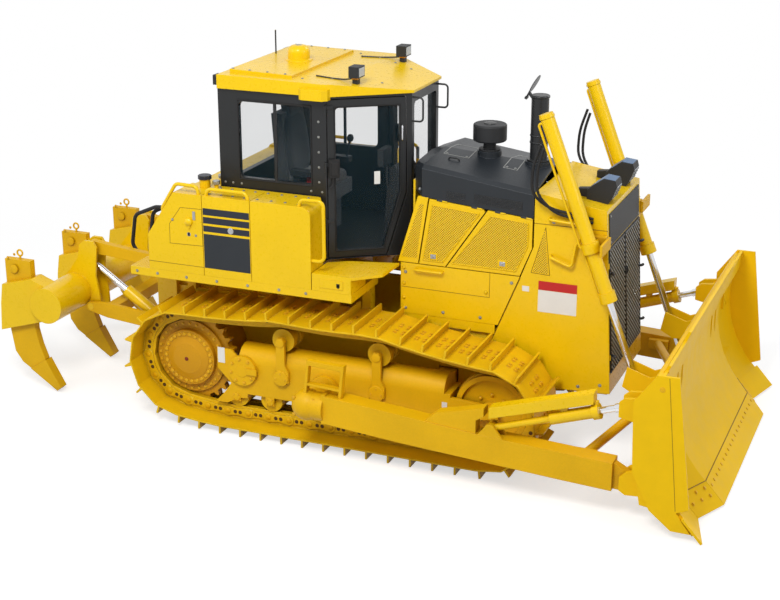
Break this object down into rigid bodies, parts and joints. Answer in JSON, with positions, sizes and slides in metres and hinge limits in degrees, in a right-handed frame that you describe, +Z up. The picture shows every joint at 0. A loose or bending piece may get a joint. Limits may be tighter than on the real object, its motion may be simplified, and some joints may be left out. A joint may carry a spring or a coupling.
{
  "type": "crawler bulldozer with ripper",
  "caption": "Crawler bulldozer with wide angled-edge blade on push arms, enclosed cab, steel tracks and a three-shank parallelogram ripper.",
  "frame": {"origin": "middle of the overall length and width, at ground level under the grousers", "axes": "+X forward towards the blade, +Y to the driver's left, +Z up"},
  "size_m": [7.305, 3.626, 3.6],
  "materials": {
    "yellow_paint": "semi-gloss",
    "track_paint": "semi-gloss",
    "dark_paint": "satin",
    "cab_paint": "satin",
    "glass": "polished",
    "chrome_rod": "polished",
    "rubber_hose": "matte",
    "cast_engine": "matte",
    "radiator_core": "satin",
    "black_plastic": "matte",
    "seat_fabric": "matte"
  },
  "bodies": {
    "chassis": {"cab_frame": "cab_paint", "cab_glass": "glass", "cab_roof": "yellow_paint", "cabinets": "yellow_paint", "carrier_rollers": "yellow_paint", "console": "black_plastic", "engine": "cast_engine", "engine_side_panels": "yellow_paint", "equalizer_bar": "yellow_paint", "exhaust_stack": "dark_paint", "fenders": "yellow_paint", "filler_caps": "black_plastic", "final_drives": "yellow_paint", "handrails": "yellow_paint", "head_lamps": "black_plastic", "hood": "dark_paint", "hoses": "rubber_hose", "idlers": "yellow_paint", "lift_yokes": "yellow_paint", "main_frame": "yellow_paint", "nose_panel": "dark_paint", "platforms": "yellow_paint", "precleaner": "dark_paint", "radiator": "radiator_core", "radiator_guard": "yellow_paint", "rear_tank": "yellow_paint", "seat": "seat_fabric", "side_covers": "yellow_paint", "sprockets": "yellow_paint", "steering_case": "yellow_paint", "track_frames": "yellow_paint", "track_left": "track_paint", "track_right": "track_paint", "track_rollers": "yellow_paint", "work_lamps": "black_plastic"},
    "push_arms": {"push_arms": "yellow_paint"},
    "blade": {"blade": "yellow_paint", "cutting_edges": "yellow_paint"},
    "tilt_barrels": {"tilt_barrels": "yellow_paint"},
    "tilt_rods": {"tilt_rods": "chrome_rod"},
    "lift_barrels": {"lift_barrels": "yellow_paint"},
    "lift_rods": {"lift_rods": "chrome_rod"},
    "ripper_arms": {"ripper_arms": "yellow_paint"},
    "ripper_beam": {"ripper_beam": "yellow_paint", "ripper_shanks": "yellow_paint"},
    "ripper_links": {"ripper_links": "yellow_paint"},
    "ripper_barrels": {"ripper_barrels": "yellow_paint"},
    "ripper_rods": {"ripper_rods": "chrome_rod"},
    "cab_door_right": {"cab_door_right": "cab_paint", "door_glass_right": "glass"},
    "cab_door_left": {"cab_door_left": "cab_paint", "door_glass_left": "glass"},
    "engine_door_rear_right": {"engine_door_rear_right": "yellow_paint"},
    "engine_door_rear_left": {"engine_door_rear_left": "yellow_paint"},
    "engine_door_front_right": {"engine_door_front_right": "yellow_paint"},
    "engine_door_front_left": {"engine_door_front_left": "yellow_paint"},
    "grille_door_right": {"grille_door_right": "dark_paint"},
    "grille_door_left": {"grille_door_left": "dark_paint"},
    "rain_cap": {"rain_cap": "dark_paint"}
  },
  "joints": [
    {"name": "blade_lift", "type": "hinge", "parent": "chassis", "child": "push_arms", "pos_m": [-0.0375, 0, 0.558], "axis": [0, 1, 0], "range_deg": [-19.4, 8.5]},
    {"name": "blade_pitch", "type": "hinge", "parent": "push_arms", "child": "blade", "pos_m": [2.9325, 0, 0.34], "axis": [0, 1, 0], "range_deg": [-4, 4]},
    {"name": "lift_cylinder_swing", "type": "hinge", "parent": "chassis", "child": "lift_barrels", "pos_m": [2.30863, 0, 2.088], "axis": [0, 1, 0], "range_deg": [-14.03, 6.32]},
    {"name": "lift_cylinder_stroke", "type": "slide", "parent": "lift_barrels", "child": "lift_rods", "axis": [0.363, 0, -0.9318], "range_m": [-0.942, 0.414]},
    {"name": "tilt_cylinder_swing", "type": "hinge", "parent": "push_arms", "child": "tilt_barrels", "pos_m": [1.7155, 0, 0.63], "axis": [0, 1, 0], "range_deg": [-0.88, 0.88]},
    {"name": "tilt_cylinder_stroke", "type": "slide", "parent": "tilt_barrels", "child": "tilt_rods", "axis": [0.948, 0, 0.3182], "range_m": [-0.048, 0.048]},
    {"name": "ripper_lift", "type": "hinge", "parent": "chassis", "child": "ripper_arms", "pos_m": [-2.0515, 0, 0.744], "axis": [0, 1, 0], "range_deg": [-20, 25]},
    {"name": "ripper_beam_level", "type": "hinge", "parent": "ripper_arms", "child": "ripper_beam", "pos_m": [-2.8715, 0, 0.819], "axis": [0, 1, 0], "range_deg": [-25.3, 20.3]},
    {"name": "ripper_link_swing", "type": "hinge", "parent": "chassis", "child": "ripper_links", "pos_m": [-2.0565, 0, 1.345], "axis": [0, 1, 0], "range_deg": [-20.3, 25.3]},
    {"name": "ripper_cylinder_swing", "type": "hinge", "parent": "chassis", "child": "ripper_barrels", "pos_m": [-2.0675, 0, 0.69], "axis": [0, 1, 0], "range_deg": [-13.65, 16.99]},
    {"name": "ripper_cylinder_stroke", "type": "slide", "parent": "ripper_barrels", "child": "ripper_rods", "axis": [-0.8293, 0, 0.5588], "range_m": [-0.136, 0.169]},
    {"name": "cab_door_right_hinge", "type": "hinge", "parent": "chassis", "child": "cab_door_right", "pos_m": [-0.1625, -0.8, 2.4], "axis": [0, 0, -1], "range_deg": [0, 90]},
    {"name": "cab_door_left_hinge", "type": "hinge", "parent": "chassis", "child": "cab_door_left", "pos_m": [-0.1625, 0.8, 2.4], "axis": [0, 0, 1], "range_deg": [0, 90]},
    {"name": "engine_door_rear_right_hinge", "type": "hinge", "parent": "chassis", "child": "engine_door_rear_right", "pos_m": [1.0375, -0.6, 2.29424], "axis": [-0.9961, 0, 0.0878], "range_deg": [0, 90]},
    {"name": "engine_door_rear_left_hinge", "type": "hinge", "parent": "chassis", "child": "engine_door_rear_left", "pos_m": [1.0375, 0.6, 2.29424], "axis": [0.9961, 0, -0.0878], "range_deg": [0, 90]},
    {"name": "engine_door_front_right_hinge", "type": "hinge", "parent": "chassis", "child": "engine_door_front_right", "pos_m": [1.5275, -0.6, 2.25104], "axis": [-0.9961, 0, 0.0878], "range_deg": [0, 90]},
    {"name": "engine_door_front_left_hinge", "type": "hinge", "parent": "chassis", "child": "engine_door_front_left", "pos_m": [1.5275, 0.6, 2.25104], "axis": [0.9961, 0, -0.0878], "range_deg": [0, 90]},
    {"name": "grille_door_right_hinge", "type": "hinge", "parent": "chassis", "child": "grille_door_right", "pos_m": [2.45364, -0.567, 1.45], "axis": [0.0615, 0, -0.9981], "range_deg": [0, 90]},
    {"name": "grille_door_left_hinge", "type": "hinge", "parent": "chassis", "child": "grille_door_left", "pos_m": [2.45364, 0.567, 1.45], "axis": [-0.0615, 0, 0.9981], "range_deg": [0, 90]},
    {"name": "rain_cap_hinge", "type": "hinge", "parent": "chassis", "child": "rain_cap", "pos_m": [1.4925, 0, 3.222], "axis": [0, 1, 0], "range_deg": [-15, 60]}
  ],
  "couplings": [
    {"joint": "lift_cylinder_swing", "follows": "blade_lift", "ratio": 0.7077},
    {"joint": "lift_cylinder_stroke", "follows": "blade_lift", "m_per_rad": 2.7751},
    {"joint": "tilt_cylinder_swing", "follows": "blade_pitch", "ratio": 0.145},
    {"joint": "tilt_cylinder_stroke", "follows": "blade_pitch", "m_per_rad": 0.662},
    {"joint": "ripper_beam_level", "follows": "ripper_lift", "ratio": -1},
    {"joint": "ripper_link_swing", "follows": "ripper_lift", "ratio": 1},
    {"joint": "ripper_cylinder_swing", "follows": "ripper_lift", "ratio": 0.6676},
    {"joint": "ripper_cylinder_stroke", "follows": "ripper_lift", "m_per_rad": 0.3837}
  ]
}
